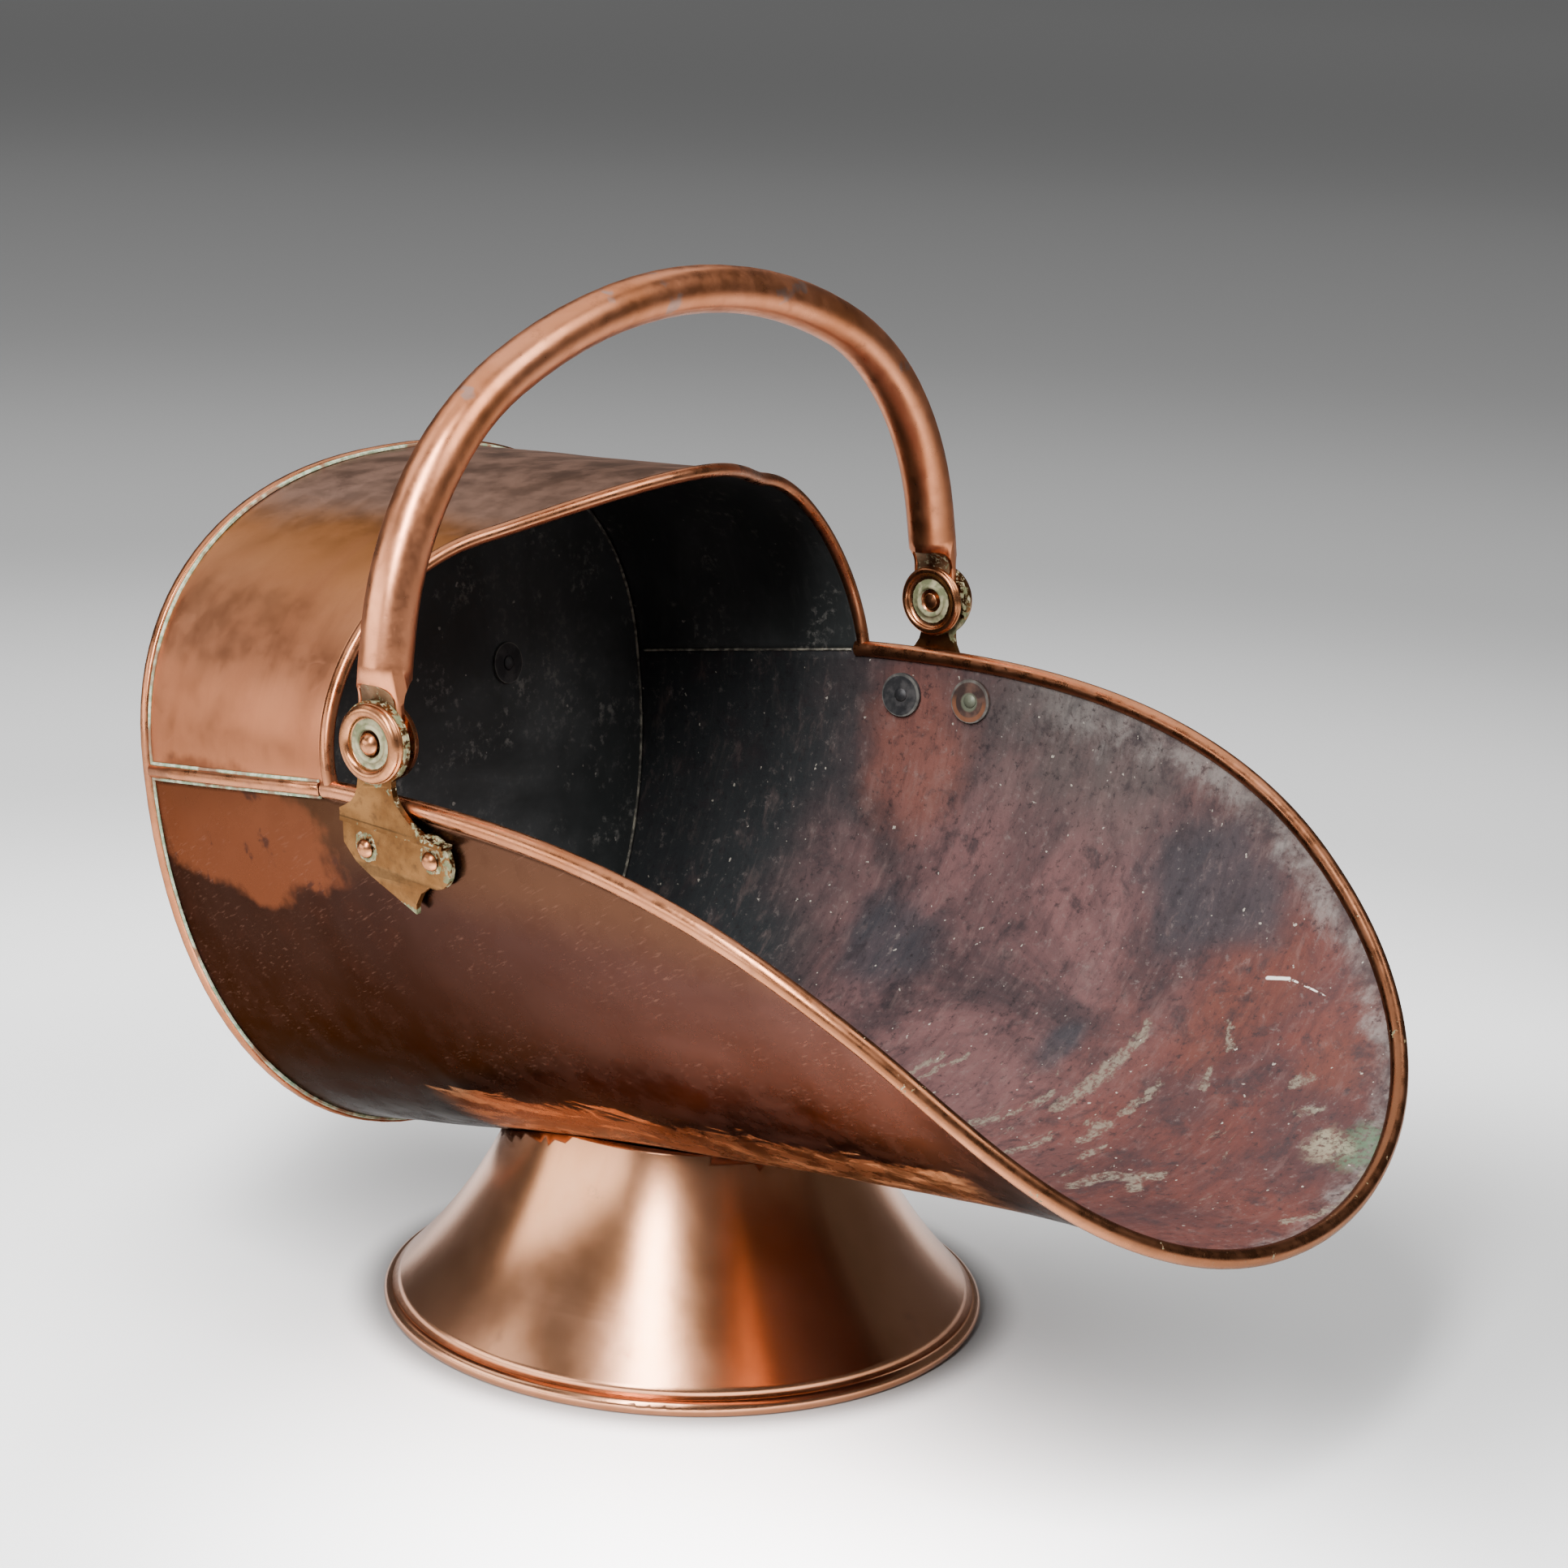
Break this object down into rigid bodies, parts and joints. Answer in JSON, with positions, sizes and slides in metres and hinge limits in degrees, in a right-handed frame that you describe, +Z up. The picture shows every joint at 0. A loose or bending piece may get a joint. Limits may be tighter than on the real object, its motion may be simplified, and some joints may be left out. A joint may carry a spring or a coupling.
{
  "type": "helmet coal scuttle",
  "caption": "Open-mouthed metal coal scuttle with a rounded hood, long curved lip, flared round foot, swinging bail handle and a fixed grip on its back plate.",
  "frame": {"origin": "on the floor under the middle of the whole scuttle, on its plane of symmetry", "axes": "+Z up; the mouth and lip point to -Y, the back plate and its grip to +Y; +X is the side away from a viewer who stands in front with the lip to the right"},
  "size_m": [0.3384, 0.4636, 0.3927],
  "materials": {
    "copper": "old copper sheet, brown, worn to a soft polish",
    "foot_copper": "spun copper, satin polish",
    "handle_copper": "copper tube, handled to a soft polish",
    "brass": "cast brass, dull, with verdigris in the corners",
    "iron": "drawn iron wire, bare"
  },
  "bodies": {
    "scuttle": {"bucket": "copper", "hood": "copper", "back_plate": "copper", "back_seam": "copper", "side_seam_left": "copper", "side_seam_right": "copper", "mouth_bead": "copper", "mouth_wire": "iron", "hood_bead": "copper", "hood_wire": "iron", "foot": "foot_copper", "foot_bead": "foot_copper", "foot_wire": "iron", "lug_left": "brass", "lug_right": "brass", "outer_boss_left": "copper", "outer_boss_right": "copper", "inner_boss_left": "brass", "inner_boss_right": "brass", "pivot_rivet_left": "copper", "pivot_rivet_right": "copper", "lug_rivets_left": "copper", "lug_rivets_right": "copper", "lug_washers_left": "copper", "lug_washers_right": "copper", "back_handle": "handle_copper", "back_handle_rivets": "copper", "back_washers": "copper"},
    "bail": {"bail_handle": "handle_copper", "handle_end_left": "brass", "handle_end_right": "brass"}
  },
  "joints": [
    {"name": "bail_swing", "type": "hinge", "parent": "scuttle", "child": "bail", "pos_m": [0, 0.05084, 0.2466], "axis": [1, 0, 0], "range_deg": [-55, 105]}
  ]
}
